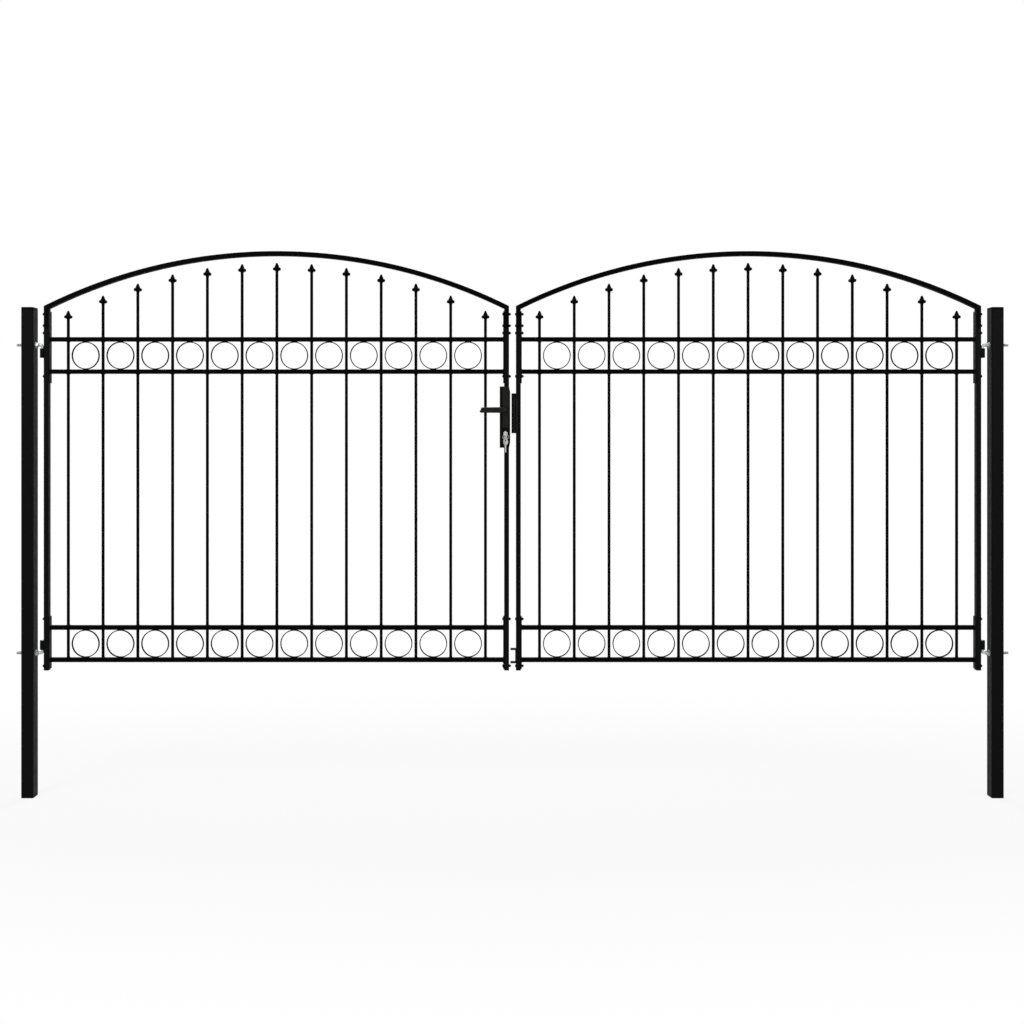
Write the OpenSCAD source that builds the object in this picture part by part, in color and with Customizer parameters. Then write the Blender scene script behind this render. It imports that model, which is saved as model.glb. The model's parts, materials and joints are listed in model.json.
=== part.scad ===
// Double-leaf driveway gate with arched tops, ring friezes and two square posts.
// Millimetres. X runs along the gate, Y through it (the lock's key side faces -Y), Z is up.
// The origin is the centre of the left post's foot.

/* [Gate] */
// Width over the outer faces of both posts
gate_w = 4000; // [3000:10:5000]
// Clear gap between a post and the hinge stile beside it
hinge_gap = 37; // [35:1:45]
// Clear gap between the two meeting stiles
meeting_gap = 28; // [28:1:40]
// Height of the leaves' lower end above the post foot
leaf_clear = 517; // [200:1:600]
// Height of a leaf's side, from its lower end to the corner of the top bow
leaf_h = 1488; // [1200:1:1800]

/* [Posts] */
// Side of the square post tube
post_w = 50; // [46:1:70]
// Height of a post with its cap
post_h = 2000; // [1800:1:2500]
// Wall of the post tube
post_wall = 2; // [1.5:0.1:4]
// Outer corner radius of the post tube
post_corner = 4; // [3:0.1:6]
// Thickness of the plate that closes the post foot
foot_t = 3; // [2:0.1:6]
// Height of the cap's visible head
cap_h = 12; // [8:0.5:20]
// Length of the cap's tongue inside the tube
cap_tongue = 15; // [8:0.5:30]
// Radius of the cap's crown
cap_crown = 220; // [120:5:400]
// Gap between the cap's tongue and the tube
cap_fit = 0.2; // [0.1:0.05:0.4]

/* [Hinges] */
// Diameter of a hook bolt and of its pin
hook_d = 12; // [10:0.5:14]
// Centreline radius of the hook's bend
hook_bend = 10; // [8:0.5:11]
// Length of bolt that stands out of the post's outer face
hook_tip = 27; // [15:0.5:35]
// Chamfer on the ends of a hook bolt
hook_chamfer = 1.5; // [0.5:0.1:2.5]
// Distance of the hinge axis from the post's inner face
hinge_axis_gap = 29; // [29:0.5:30]
// Height of the upper hook below the corner of the top bow
upper_hook_drop = 159.5; // [150:0.5:200]
// Height of the lower hook above the leaf's lower end
lower_hook_rise = 70; // [60:0.5:100]
// Distance from the hook's axis to the near end of the knuckle
knuckle_drop = 13.5; // [12:0.5:18]
// Height of a hinge knuckle
knuckle_h = 38; // [25:1:60]
// Wall of a hinge knuckle
knuckle_wall = 5; // [4:0.1:6]
// Length of pin that shows beyond the knuckle
pin_over = 1.5; // [0.5:0.5:4]
// Radial clearance of the pin in its knuckle
pin_fit = 0.05; // [0.02:0.01:0.1]
// Radial clearance of the bolt in the post and in its nut
hook_fit = 0.1; // [0.05:0.05:0.2]
// Width over the flats of a hook bolt's nut
nut_af = 19; // [17:0.5:20]
// Height of a hook bolt's nut
nut_h = 10; // [8:0.5:11]
// Diameter of a hook bolt's washer
washer_d = 24; // [22:0.5:26]
// Thickness of a hook bolt's washer
washer_t = 2.5; // [1.5:0.1:3]
// Gap between pieces that sit against each other
seat_gap = 0.2; // [0.1:0.05:0.3]

/* [Leaf frame] */
// Width of a stile across the leaf
stile_w = 20; // [18:0.5:30]
// Depth of the stiles and of the top bow
stile_d = 25; // [22:0.5:30]
// Wall of the stiles and of the top bow
stile_wall = 1.5; // [1:0.1:2]
// Outer corner radius of a stile
stile_corner = 2.5; // [2.2:0.1:4]
// Rise of the top bow from its corner to its crown
bow_rise = 224; // [120:1:300]
// Thickness of the bow's arched length
bow_t = 19; // [16:0.5:24]
// Length of the bow's leg below its corner
leg_len = 95; // [90:1:100]
// Height of the plug that closes the lower end of a stile
plug_h = 4; // [3:0.5:8]
// Gap between a plug's tongue and the lowest frame bolt
plug_gap = 2; // [1:0.5:4]

/* [Rails] */
// Height and depth of a rail
rail_w = 18; // [14:0.5:20]
// Wall of a rail
rail_wall = 1.2; // [1:0.1:1.6]
// Outer corner radius of a rail
rail_corner = 2; // [1.8:0.1:3]
// Distance between the two rails of a frieze
frieze_pitch = 132; // [110:0.5:150]
// Depth of the top rail's axis below the bow's corner
top_rail_drop = 136; // [130:0.5:160]
// Height of the bottom rail's axis above the leaf's lower end
bottom_rail_rise = 42; // [30:0.5:60]

/* [End plates] */
// Thickness of the end plates that carry the rails
plate_t = 4; // [3:0.5:6]
// Distance of the upper plate's top below the bow's corner
plate_top_drop = 22; // [20:0.5:30]
// Length of the upper plate below the second rail's axis
upper_plate_below = 47; // [40:0.5:60]
// Length of the lower plate above the third rail's axis
lower_plate_above = 46; // [40:0.5:60]
// Height of the lower plate's foot above the leaf's lower end
plate_foot_rise = 6; // [5:0.5:10]

/* [Frame bolts] */
// Diameter of a frame bolt
bolt_d = 6; // [5:0.5:8]
// Radial clearance of a frame bolt in its holes
bolt_fit = 0.2; // [0.1:0.05:0.4]
// Diameter of a frame bolt's domed head
bolt_head_d = 13; // [11:0.5:14]
// Height of a frame bolt's domed head
bolt_head_h = 4.5; // [3:0.1:5]
// Width over the flats of a frame bolt's nut
bolt_nut_af = 10; // [9:0.5:13]
// Height of a frame bolt's nut
bolt_nut_h = 5; // [4:0.1:5]
// Length of thread that shows past the nut
bolt_end = 2; // [1:0.1:2]
// Distance of the outer bolts from the ends of an end plate
bolt_edge = 11; // [9:0.5:14]
// Distance of the upper plate's lower bolt from the plate's foot
low_bolt_edge = 28; // [16:0.5:30]
// Distance of the splice bolts from the end of the bow's leg
splice_bolt = 15; // [12:0.5:18]

/* [Pickets] */
// Diameter of a picket tube
picket_d = 12; // [10:0.5:14]
// Wall of a picket tube
picket_wall = 1; // [0.8:0.1:2]
// Distance of the first and last picket from the sides of the leaf
picket_edge = 96.5; // [90:0.5:110]
// Radial clearance of a picket in the rails
picket_fit = 0.2; // [0.1:0.05:0.3]
// Depth of the highest finial's tip below the bow's crown
tip_crown_drop = 47; // [45:1:80]
// Rise of the row of finial tips from its ends to its middle
tip_rise = 196; // [150:1:210]

/* [Finials] */
// Height of a finial
finial_h = 36; // [30:0.5:45]
// Diameter of a finial's collar
collar_d = 31; // [28:0.5:34]
// Height of the collar's middle above the foot of the finial
collar_z = 12; // [10:0.5:14]
// Thickness of the collar's rounded rim
rim_t = 9; // [6:0.5:11]
// Diameter of the finial's neck on the picket
neck_d = 13.5; // [13:0.1:16]
// Diameter of the finial's blunt tip
tip_d = 6; // [3:0.1:8]
// Depth of the hollow in a finial's flank
flank_hollow = 1.5; // [0.5:0.1:2.2]

/* [Rings] */
// Thickness of the ring strip
ring_t = 3; // [1.5:0.1:4]
// Depth of the ring strip
ring_d = 8; // [6:0.5:14]
// Gap between a ring and the rails above and below it
ring_fit = 0.25; // [0.1:0.05:0.3]
// Least gap between a ring and the pickets beside it
ring_side = 6; // [4:0.5:8]

/* [Lock] */
// Width of the lock box across the leaf
lock_w = 38; // [32:0.5:45]
// Depth of the lock box
lock_d = 30; // [28:0.5:36]
// Height of the lock box
lock_h = 250; // [240:1:280]
// Radius of the lock box's upright edges
lock_r = 2; // [1:0.5:4]
// Distance of the lock box below the upper end plate
lock_drop = 14; // [8:0.5:40]
// Thickness of the lock's faceplate
face_t = 4.5; // [3:0.5:5]
// Depth of the lock's faceplate
face_d = 24; // [22:0.5:26]
// Length of the faceplate's tapered ends
face_taper = 22; // [10:0.5:30]
// Width of the latch windows through the gate's thickness
window_d = 14; // [10:0.5:16]
// Height of the latch window
latch_h = 24; // [18:0.5:28]
// Height of the deadbolt window
deadbolt_h = 36; // [30:0.5:40]
// Height of the latch above the foot of the lock box
latch_z = 190; // [180:0.5:200]
// Height of the deadbolt above the foot of the lock box
deadbolt_z = 110; // [100:0.5:120]
// Distance of the lock's axes from the face of the meeting stile
backset = 14; // [13.5:0.5:18]
// Height of the lever's axis above the foot of the lock box
lever_z = 154; // [140:0.5:160]
// Height of the cylinder's axis above the foot of the lock box
cylinder_z = 57.5; // [45:0.5:60]

/* [Handles] */
// Width of a handle plate
handle_plate_w = 26; // [24:0.5:30]
// Height of a handle plate
handle_plate_h = 168; // [150:1:180]
// Thickness of a handle plate
handle_plate_t = 7; // [5:0.5:10]
// Corner radius of a handle plate
handle_plate_r = 4; // [2:0.5:8]
// Radius of a handle plate's outer edges
handle_edge_r = 2; // [1:0.5:3]
// Diameter of the lever's neck
lever_neck_d = 18; // [16:0.5:20]
// Distance of the lever bar's middle from the handle plate
lever_reach = 30; // [24:0.5:45]
// Depth of the lever bar
lever_t = 14; // [12:0.5:20]
// Height of the lever bar at its neck
lever_root_h = 22; // [20:0.5:26]
// Height of the lever bar at its tip
lever_tip_h = 20.5; // [14:0.5:21]
// Length of the lever from its axis
lever_len = 105; // [90:1:130]
// Slant of the lever's end
lever_slant = 7; // [2:0.5:12]
// Radius of the lever's outer bend at its neck
lever_bend_r = 9; // [4:0.5:10]
// Radius of the lever's upright edges at its tip
lever_tip_r = 4; // [2:0.5:5]
// Radius of the lever's long edges
lever_edge_r = 4; // [2:0.5:5]
// Side of the lever's square spindle
spindle_w = 8; // [7:0.5:9]
// Depth of the spindle's socket in a lever
socket_h = 15; // [10:0.5:20]
// Clearance of the lever's neck and of the spindle
lever_fit = 0.1; // [0.05:0.05:0.2]

/* [Cylinder and keys] */
// Diameter of the lock cylinder's round part
cylinder_d = 17; // [16:0.5:18]
// Width of the lock cylinder's lower part
cylinder_flag_w = 10; // [9:0.5:11]
// Height of the lock cylinder
cylinder_h = 33; // [30:0.5:36]
// Length of cylinder that stands out of the lock box
cylinder_out = 10; // [6:0.5:14]
// Gap between the cylinder and the lock box
cylinder_fit = 0.2; // [0.1:0.05:0.3]
// Depth of the keyway in each end of the cylinder
keyway_depth = 8; // [4:0.5:12]
// Gap between a key and its keyway
key_fit = 0.15; // [0.1:0.05:0.2]
// Thickness of a key
key_t = 2.4; // [1.8:0.1:2.8]
// Radius of a key's bow
key_bow_r = 14; // [12:0.5:15]
// Length of a key from its bow's middle to the blade's end
key_len = 42; // [34:0.5:46]
// Height of a key's blade
key_blade_h = 8; // [6:0.5:9]
// Number of bits cut into a key's blade
bit_count = 4; // [2:1:5]
// Distance between the bits of a key
bit_pitch = 5; // [4:0.5:6]
// Width of a key's bit
bit_w = 3; // [2:0.5:4]
// Radius of the hole in a key's bow
key_hole_r = 4; // [3.8:0.1:5]
// Distance of a key's hole from its bow's middle
key_hole_off = 6.5; // [5:0.5:7]
// Radius of the key ring's middle line
key_ring_r = 11; // [9:0.5:14]
// Diameter of the key ring's wire
key_wire_d = 1.8; // [1.4:0.1:2]
// Turn of the hanging key about its upright
key_turn = 40; // [0:1:45]
// Play of the key ring in the keys' holes
key_play = 0.5; // [0.4:0.05:0.6]

/* [Keeper and bracket] */
// Distance that the keeper stands out of the meeting stile
keeper_reach = 18; // [16:0.5:18]
// Height of the keeper
keeper_h = 163; // [150:1:190]
// Height of the keeper's foot above the foot of the lock box
keeper_rise = 59; // [50:1:65]
// Sheet thickness of the keeper
keeper_t = 2.5; // [2:0.1:3]
// Length of the keeper's flanges on the stile
keeper_lap = 10; // [8:0.5:16]
// Clearance of the latch and the deadbolt in the keeper's windows
keeper_window_fit = 3; // [2:0.5:4]
// Distance that the drop rod's bracket stands out of the stile
bracket_reach = 22.5; // [20:0.5:22.5]
// Height of the bracket's foot above the leaf's lower end
bracket_rise = 29; // [26:0.5:40]
// Height of the bracket
bracket_h = 60; // [40:1:90]
// Depth of the bracket through the gate
bracket_d = 20; // [18:0.5:24]
// Thickness of the bracket's ears
ear_t = 6; // [4:0.5:8]
// Thickness of the bracket's base
bracket_base_t = 3; // [2:0.5:4]
// Diameter of the drop rod's holes
rod_hole_d = 13; // [12:0.5:14]
// Distance of the drop rod's axis from the stile
rod_off = 11.5; // [11:0.5:12]

/* [Hidden] */
$fn = 64;
cut = 1;
nut_slope = 30;
post_axis_gap = gate_w - post_w;
middle_x = post_axis_gap / 2;
leaf_x = post_w / 2 + hinge_gap;
leaf_w = (post_axis_gap - meeting_gap) / 2 - leaf_x;
hinge_x = post_w / 2 + hinge_axis_gap;
lock_x = middle_x - meeting_gap / 2;
far_x = middle_x + meeting_gap / 2;
corner_z = leaf_clear + leaf_h;
crown_z = corner_z + bow_rise;
leg_z = corner_z - leg_len;
bow_r = (pow(leaf_w / 2, 2) + pow(bow_rise, 2)) / (2 * bow_rise);
top_rail_z = corner_z - top_rail_drop;
bottom_rail_z = leaf_clear + bottom_rail_rise;
rail_zs = [top_rail_z, top_rail_z - frieze_pitch, bottom_rail_z + frieze_pitch, bottom_rail_z];
rail_x0 = stile_w + plate_t;
rail_len = leaf_w - 2 * rail_x0;
ring_r = (frieze_pitch - rail_w) / 2 - ring_fit;
bay_min = 2 * ring_r + picket_d + 2 * ring_side;
bays = floor((leaf_w - 2 * picket_edge) / bay_min);
picket_pitch = (leaf_w - 2 * picket_edge) / bays;
picket_z0 = bottom_rail_z + rail_w / 2;
tip_half = leaf_w / 2 - picket_edge;
tip_r = (pow(tip_half, 2) + pow(tip_rise, 2)) / (2 * tip_rise);
upper_plate_z1 = corner_z - plate_top_drop;
upper_plate_z0 = rail_zs[1] - upper_plate_below;
lower_plate_z1 = rail_zs[2] + lower_plate_above;
lower_plate_z0 = leaf_clear + plate_foot_rise;
splice_zs = [leg_z + splice_bolt, leg_z - splice_bolt];
upper_bolt_zs = [upper_plate_z1 - bolt_edge, upper_plate_z0 + low_bolt_edge];
lower_bolt_zs = [lower_plate_z1 - bolt_edge, lower_plate_z0 + bolt_edge];
bolt_zs = concat(splice_zs, upper_bolt_zs, lower_bolt_zs);
plug_tongue = min(lower_bolt_zs) - bolt_d / 2 - plug_gap - leaf_clear - plug_h;
upper_hook_z = corner_z - upper_hook_drop;
lower_hook_z = leaf_clear + lower_hook_rise;
hook_len = post_w + hinge_axis_gap + hook_tip;
pin_len = knuckle_drop + knuckle_h + pin_over;
lock_z1 = upper_plate_z0 - lock_drop;
lock_z0 = lock_z1 - lock_h;
lock_axis_x = lock_x - backset;
lever_axis_z = lock_z0 + lever_z;
cylinder_axis_z = lock_z0 + cylinder_z;
cylinder_half = lock_d / 2 + cylinder_out;
lever_y = lock_d / 2 + handle_plate_t + lever_reach;
keeper_z0 = lock_z0 + keeper_rise;
bracket_z0 = leaf_clear + bracket_rise;

function picket_x(i) = picket_edge + i * picket_pitch;
function tip_z(x) = crown_z - tip_crown_drop - tip_r + sqrt(pow(tip_r, 2) - pow(x - leaf_w / 2, 2));

module satin_black() { color([0.06, 0.06, 0.065]) children(); }
module zinc() { color([0.62, 0.63, 0.64]) children(); }
module nickel() { color([0.78, 0.78, 0.76]) children(); }

// The same piece at the other post
module opposite() { translate([post_axis_gap, 0, 0]) mirror([1, 0, 0]) children(); }

// A piece drawn from the outer face of a hinge stile
module on_leaf() { translate([leaf_x, 0, 0]) children(); }

// The same piece at both stiles of a leaf
module both_stiles() {
    children();
    translate([leaf_w, 0, 0]) mirror([1, 0, 0]) children();
}

module rounded_rect(w, d, r) {
    square([w - 2 * r, d], center = true);
    square([w, d - 2 * r], center = true);
    for (sx = [-1, 1], sy = [-1, 1])
        translate([sx * (w / 2 - r), sy * (d / 2 - r)]) circle(r);
}

module tube_section(w, d, wall, r) {
    difference() {
        rounded_rect(w, d, r);
        rounded_rect(w - 2 * wall, d - 2 * wall, r - wall);
    }
}

module rod_x(d, h) { rotate([0, 90, 0]) cylinder(d = d, h = h); }
module rod_y(d, h) { rotate([90, 0, 0]) cylinder(d = d, h = h, center = true); }
module hex_x(af, h) { rotate([0, 90, 0]) cylinder(d = af / cos(30), h = h, $fn = 6); }

// A closed square tube, with the hook bolts' holes through both sides
module post() {
    satin_black() difference() {
        linear_extrude(post_h - cap_h) rounded_rect(post_w, post_w, post_corner);
        translate([0, 0, foot_t]) linear_extrude(post_h)
            rounded_rect(post_w - 2 * post_wall, post_w - 2 * post_wall, post_corner - post_wall);
        for (z = [upper_hook_z, lower_hook_z])
            translate([-post_w, 0, z]) rod_x(hook_d + 2 * hook_fit, 2 * post_w);
    }
}

// A pushed-in cap with a slightly crowned head
module post_cap() {
    tongue_w = post_w - 2 * post_wall - 2 * cap_fit;
    satin_black() {
        intersection() {
            translate([0, 0, post_h - cap_h]) linear_extrude(cap_h) rounded_rect(post_w, post_w, post_corner);
            translate([0, 0, post_h - cap_crown]) sphere(cap_crown);
        }
        translate([0, 0, post_h - cap_h - cap_tongue]) linear_extrude(cap_tongue + cut)
            rounded_rect(tongue_w, tongue_w, post_corner - post_wall);
    }
}

// A hook bolt whose pin points down, drawn from the hinge axis
module hook_bolt() {
    tip_d = hook_d - 2 * hook_chamfer;
    translate([-hook_len + hook_chamfer, 0, 0]) rod_x(hook_d, hook_len - hook_chamfer - hook_bend);
    translate([-hook_len, 0, 0]) rotate([0, 90, 0]) cylinder(d1 = tip_d, d2 = hook_d, h = hook_chamfer);
    translate([-hook_bend, 0, -hook_bend]) rotate([90, 0, 0])
        rotate_extrude(angle = 90) translate([hook_bend, 0]) circle(d = hook_d);
    translate([0, 0, hook_chamfer - pin_len]) cylinder(d = hook_d, h = pin_len - hook_chamfer - hook_bend);
    translate([0, 0, -pin_len]) cylinder(d1 = tip_d, d2 = hook_d, h = hook_chamfer);
}

// Upper pins point down and lower pins point up, so a leaf can't be lifted off
module hinge_hooks() {
    zinc() {
        translate([hinge_x, 0, upper_hook_z]) hook_bolt();
        translate([hinge_x, 0, lower_hook_z]) mirror([0, 0, 1]) hook_bolt();
    }
}

module hinge_nuts() {
    bore_d = hook_d + 2 * hook_fit;
    zinc() for (z = [upper_hook_z, lower_hook_z]) translate([post_w / 2, 0, z]) {
        difference() {
            rod_x(washer_d, washer_t);
            translate([-cut, 0, 0]) rod_x(bore_d, washer_t + 2 * cut);
        }
        translate([washer_t + seat_gap, 0, 0]) difference() {
            intersection() {
                hex_x(nut_af, nut_h);
                rotate([0, 90, 0]) cylinder(d1 = nut_af + 2 * nut_h / tan(nut_slope), d2 = nut_af, h = nut_h);
            }
            translate([-cut, 0, 0]) rod_x(bore_d, nut_h + 2 * cut);
        }
    }
}

// A stile tube between two heights
module stile_length(z0, z1) {
    translate([stile_w / 2, 0, z0]) linear_extrude(z1 - z0)
        tube_section(stile_w, stile_d, stile_wall, stile_corner);
}

module bolt_holes() {
    for (z = bolt_zs) translate([-cut, 0, z]) rod_x(bolt_d + 2 * bolt_fit, rail_x0 + 2 * cut);
}

module hinge_stile() {
    satin_black() on_leaf() difference() {
        stile_length(leaf_clear + plug_h, leg_z);
        bolt_holes();
    }
}

module meeting_stile() {
    satin_black() on_leaf() translate([leaf_w, 0, 0]) mirror([1, 0, 0]) difference() {
        stile_length(leaf_clear + plug_h, leg_z);
        bolt_holes();
    }
}

// The lock box stands in this stile, which ends above and below it
module lock_stile() {
    satin_black() on_leaf() translate([leaf_w, 0, 0]) mirror([1, 0, 0]) difference() {
        union() {
            stile_length(leaf_clear + plug_h, lock_z0);
            stile_length(lock_z1, leg_z);
        }
        bolt_holes();
    }
}

// Outline of the bow, drawn smaller by an inset on both edges
module bow_outline(inset) {
    leg_w = stile_w - inset;
    below = inset > 0 ? cut : 0;
    difference() {
        intersection() {
            translate([leaf_w / 2, crown_z - bow_r]) circle(bow_r - inset);
            translate([inset, leg_z - below]) square([leaf_w - 2 * inset, crown_z - leg_z + cut]);
        }
        intersection() {
            translate([leaf_w / 2, crown_z - bow_r]) circle(bow_r - bow_t + inset);
            translate([leg_w, leg_z - 2 * cut]) square([leaf_w - 2 * leg_w, crown_z - leg_z]);
        }
    }
}

// An arched tube with a short leg mitred to each end
module top_bow() {
    satin_black() on_leaf() rotate([90, 0, 0]) difference() {
        linear_extrude(stile_d, center = true) bow_outline(0);
        linear_extrude(stile_d - 2 * stile_wall, center = true) bow_outline(stile_wall);
        for (x = [-cut, leaf_w - stile_w - cut], z = bolt_zs)
            translate([x, z, 0]) rotate([-90, 0, 0]) rod_x(bolt_d + 2 * bolt_fit, stile_w + 2 * cut);
    }
}

module end_plate(z0, z1) {
    translate([stile_w, -stile_d / 2, z0]) cube([plate_t, stile_d, z1 - z0]);
}

// Flat bars that splice the bow to the stiles and carry the rails
module end_plates() {
    satin_black() on_leaf() both_stiles() difference() {
        union() {
            end_plate(upper_plate_z0, upper_plate_z1);
            end_plate(lower_plate_z0, lower_plate_z1);
        }
        bolt_holes();
    }
}

// The bottom rail is plain, and the other three are punched for the pickets
module rails() {
    satin_black() on_leaf() for (z = rail_zs) difference() {
        translate([rail_x0, 0, z]) rotate([90, 0, 90]) linear_extrude(rail_len)
            tube_section(rail_w, rail_w, rail_wall, rail_corner);
        if (z > bottom_rail_z) for (i = [0:bays])
            translate([picket_x(i), 0, z])
                cylinder(d = picket_d + 2 * picket_fit, h = 2 * rail_w, center = true);
    }
}

module pickets() {
    satin_black() on_leaf() for (i = [0:bays]) translate([picket_x(i), 0, picket_z0]) {
        tube_h = tip_z(picket_x(i)) - finial_h - picket_z0;
        difference() {
            cylinder(d = picket_d, h = tube_h);
            translate([0, 0, -cut]) cylinder(d = picket_d - 2 * picket_wall, h = tube_h + 2 * cut);
        }
    }
}

// Half outline of a finial: neck, rounded collar and a point with hollow flanks
module finial_outline() {
    rim_x = (collar_d - rim_t) / 2;
    tip_x = tip_d / 2;
    flank_w = rim_x - tip_x;
    flank_h = finial_h - collar_z;
    half_chord = sqrt(pow(flank_w, 2) + pow(flank_h, 2)) / 2;
    flank_r = (pow(half_chord, 2) + pow(flank_hollow, 2)) / (2 * flank_hollow);
    square([neck_d / 2, collar_z]);
    translate([0, collar_z - rim_t / 2]) square([rim_x, rim_t]);
    translate([rim_x, collar_z]) circle(d = rim_t);
    difference() {
        translate([0, collar_z]) square([rim_x, flank_h]);
        polygon([[rim_x, collar_z], [rim_x + cut, collar_z], [rim_x + cut, finial_h + cut],
                 [tip_x, finial_h + cut], [tip_x, finial_h]]);
        translate([tip_x + flank_w / 2, collar_z + flank_h / 2]) rotate(atan2(flank_w, flank_h))
            translate([flank_r - flank_hollow, 0]) circle(flank_r);
    }
}

module finials() {
    satin_black() on_leaf() for (i = [0:bays])
        translate([picket_x(i), 0, tip_z(picket_x(i)) - finial_h]) rotate_extrude() finial_outline();
}

// One ring in every bay of a frieze
module ring_row(frieze_z) {
    satin_black() on_leaf() for (i = [0:bays - 1])
        translate([picket_x(i) + picket_pitch / 2, 0, frieze_z]) difference() {
            rod_y(2 * ring_r, ring_d);
            rod_y(2 * (ring_r - ring_t), ring_d + 2 * cut);
        }
}

module upper_rings() { ring_row(top_rail_z - frieze_pitch / 2); }
module lower_rings() { ring_row(bottom_rail_z + frieze_pitch / 2); }

// Short tubes on the stile's face that turn on the hooks' pins
module knuckles() {
    bore_d = hook_d + 2 * pin_fit;
    satin_black() for (z = [upper_hook_z - knuckle_drop - knuckle_h, lower_hook_z + knuckle_drop])
        difference() {
            translate([hinge_x, 0, z]) cylinder(d = bore_d + 2 * knuckle_wall, h = knuckle_h);
            translate([hinge_x, 0, z - cut]) cylinder(d = bore_d, h = knuckle_h + 2 * cut);
            translate([leaf_x, -post_w / 2, z - cut]) cube([post_w, post_w, knuckle_h + 2 * cut]);
        }
}

// A domed bolt through a stile and its end plate, head at x = 0 and nut past the plate
module frame_bolt() {
    dome_r = (pow(bolt_head_d / 2, 2) + pow(bolt_head_h, 2)) / (2 * bolt_head_h);
    rod_x(bolt_d, rail_x0 + bolt_nut_h + bolt_end);
    translate([rail_x0, 0, 0]) hex_x(bolt_nut_af, bolt_nut_h);
    intersection() {
        translate([dome_r - bolt_head_h, 0, 0]) sphere(dome_r);
        translate([-bolt_head_h - cut, 0, 0]) rod_x(2 * bolt_head_d, bolt_head_h + cut);
    }
}

module frame_bolts() {
    satin_black() on_leaf() both_stiles() for (z = bolt_zs) translate([0, 0, z]) frame_bolt();
}

module stile_plugs() {
    tongue_gap = 2 * (stile_wall + seat_gap);
    satin_black() on_leaf() both_stiles() translate([stile_w / 2, 0, leaf_clear]) {
        linear_extrude(plug_h) rounded_rect(stile_w, stile_d, stile_corner);
        linear_extrude(plug_h + plug_tongue)
            rounded_rect(stile_w - tongue_gap, stile_d - tongue_gap, stile_corner - stile_wall);
    }
}

// Cross-section of the lock cylinder, round above and narrow below
module cylinder_section(grow) {
    flag_r = cylinder_flag_w / 2 + grow;
    flag_y = cylinder_d / 2 - cylinder_h + cylinder_flag_w / 2;
    circle(cylinder_d / 2 + grow);
    translate([0, flag_y]) circle(flag_r);
    translate([-flag_r, flag_y]) square([2 * flag_r, -flag_y]);
}

module lock_box() {
    satin_black() difference() {
        translate([lock_x - lock_w / 2, 0, lock_z0]) linear_extrude(lock_h)
            rounded_rect(lock_w, lock_d, lock_r);
        translate([lock_axis_x, 0, lever_axis_z]) rod_y(spindle_w * sqrt(2) + seat_gap * 2, 2 * lock_d);
        translate([lock_axis_x, 0, cylinder_axis_z]) rotate([90, 0, 0])
            linear_extrude(2 * lock_d, center = true) cylinder_section(cylinder_fit);
    }
}

module window(z, h, fit) {
    translate([-post_w / 2, -window_d / 2 - fit, z - h / 2 - fit])
        cube([post_w, window_d + 2 * fit, h + 2 * fit]);
}

// A plate with tapered ends and windows for the latch and the deadbolt
module lock_faceplate() {
    satin_black() translate([lock_x, 0, lock_z0]) difference() {
        rotate([90, 0, 0]) linear_extrude(face_d, center = true)
            polygon([[0, 0], [face_t, face_taper], [face_t, lock_h - face_taper], [0, lock_h]]);
        window(latch_z, latch_h, 0);
        window(deadbolt_z, deadbolt_h, 0);
    }
}

// Cross-section of a handle plate of this width, with its two outer edges rounded
module plate_section(w) {
    translate([-w / 2, handle_edge_r - handle_plate_t]) square([w, handle_plate_t - handle_edge_r + cut]);
    translate([handle_edge_r - w / 2, -handle_plate_t]) square([w - 2 * handle_edge_r, handle_plate_t]);
    for (side = [-1, 1])
        translate([side * (w / 2 - handle_edge_r), handle_edge_r - handle_plate_t]) circle(handle_edge_r);
}

// The handle plate's bore carries the lever's neck
module front_handle_plate() {
    satin_black() difference() {
        translate([lock_axis_x, -lock_d / 2, lock_z1 - handle_plate_h / 2]) intersection() {
            rotate([90, 0, 0]) linear_extrude(handle_plate_t)
                rounded_rect(handle_plate_w, handle_plate_h, handle_plate_r);
            linear_extrude(handle_plate_h, center = true) plate_section(handle_plate_w);
            rotate([0, -90, 0]) linear_extrude(handle_plate_w, center = true) plate_section(handle_plate_h);
        }
        translate([lock_axis_x, -lock_d / 2, lever_axis_z])
            rod_y(lever_neck_d + 2 * lever_fit, 4 * handle_plate_t);
    }
}

module rear_handle_plate() { mirror([0, 1, 0]) front_handle_plate(); }

module lock_cylinder() {
    slot_w = key_t + 2 * key_fit;
    slot_h = key_blade_h + 2 * key_fit;
    nickel() translate([lock_axis_x, 0, cylinder_axis_z]) difference() {
        rotate([90, 0, 0]) linear_extrude(2 * cylinder_half, center = true) cylinder_section(0);
        for (side = [-1, 1]) translate([0, side * cylinder_half, 0])
            cube([slot_w, 2 * keyway_depth, slot_h], center = true);
    }
}

// A flat key in the YZ plane, its bow's middle at the origin and its blade along +Y
module flat_key(blade_len) {
    rotate([90, 0, 90]) linear_extrude(key_t, center = true) difference() {
        union() {
            circle(key_bow_r);
            translate([0, -key_blade_h / 2]) square([blade_len, key_blade_h]);
        }
        translate([-key_hole_off, 0]) circle(key_hole_r);
        for (i = [1:bit_count]) translate([key_len - i * bit_pitch, -key_blade_h / 2])
            rotate(45) square(bit_w / sqrt(2), center = true);
    }
}

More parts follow.
